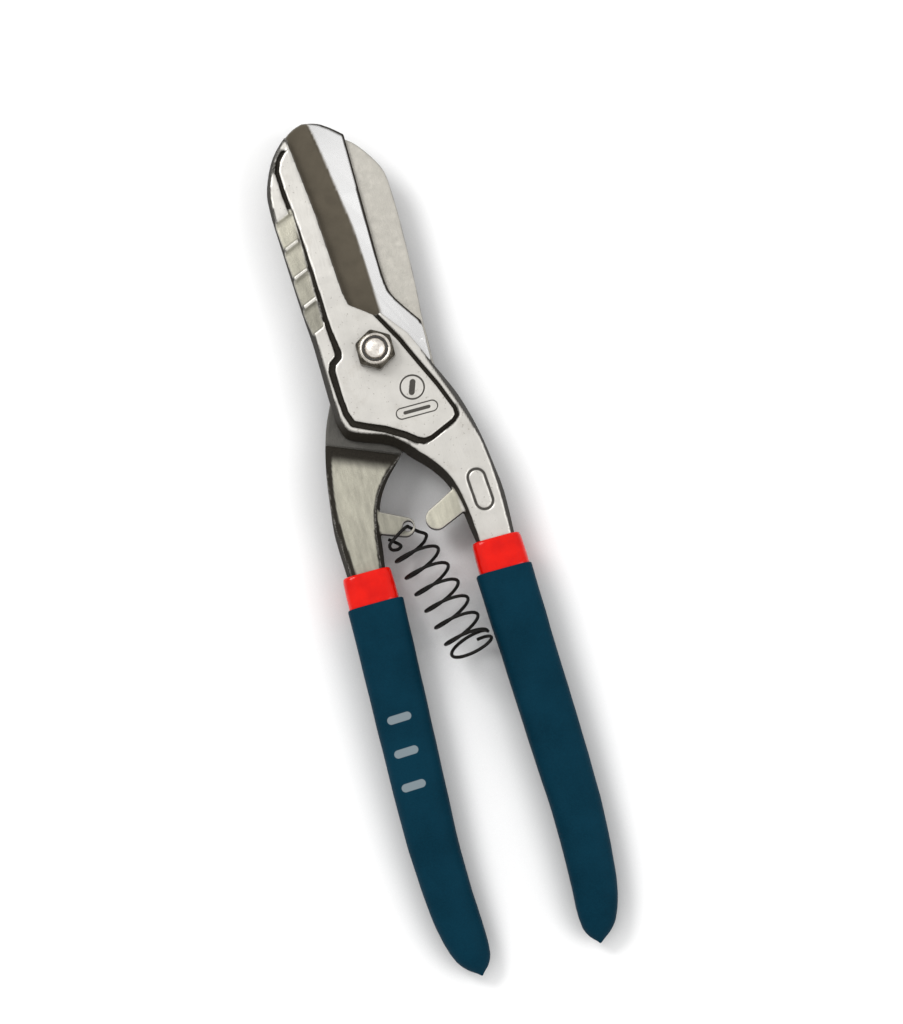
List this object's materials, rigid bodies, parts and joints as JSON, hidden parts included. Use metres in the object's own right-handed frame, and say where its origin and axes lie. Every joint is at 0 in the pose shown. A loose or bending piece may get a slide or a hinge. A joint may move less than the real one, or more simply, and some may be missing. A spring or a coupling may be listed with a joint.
{
  "type": "tin snips",
  "caption": "Straight-cut hand snips for sheet metal: two forged halves on a pivot bolt, a loose return spring and dipped two-colour grips.",
  "frame": {"origin": "on the pivot axis, in the outer face of the pivot bolt's head", "axes": "tool lying flat: +Y towards the blade tips, +Z from the bolt head towards the nut, +X to the right seen from the nut side"},
  "size_m": [0.0582, 0.2556, 0.0268],
  "materials": {
    "forged_steel": "satin ground faces, black forged sides",
    "bolt_steel": "plain machined steel",
    "plated_steel": "bright plated",
    "nylon": "matte",
    "spring_wire": "black oiled wire",
    "red_dip": "glossy soft vinyl dip",
    "teal_dip": "matte soft vinyl dip"
  },
  "bodies": {
    "back_body": {"back_half": "forged_steel", "left_sleeve": "red_dip", "left_grip": "teal_dip", "pivot_bolt": "bolt_steel", "lock_nut": "plated_steel", "nut_insert": "nylon"},
    "front_body": {"front_half": "forged_steel", "right_sleeve": "red_dip", "right_grip": "teal_dip"},
    "spring_body": {"return_spring": "spring_wire"}
  },
  "joints": [
    {"name": "jaw_pivot", "type": "hinge", "parent": "back_body", "child": "front_body", "pos_m": [0, 0, 0.0119], "axis": [0, 0, 1], "range_deg": [-2, 28]},
    {"name": "spring_swing", "type": "hinge", "parent": "back_body", "child": "spring_body", "pos_m": [-0.0042, -0.0516, 0.0119], "axis": [0, 0, 1], "range_deg": [-4, 56], "deforming": ["return_spring"]}
  ],
  "couplings": [
    {"joint": "spring_swing", "follows": "jaw_pivot", "ratio": 2}
  ]
}
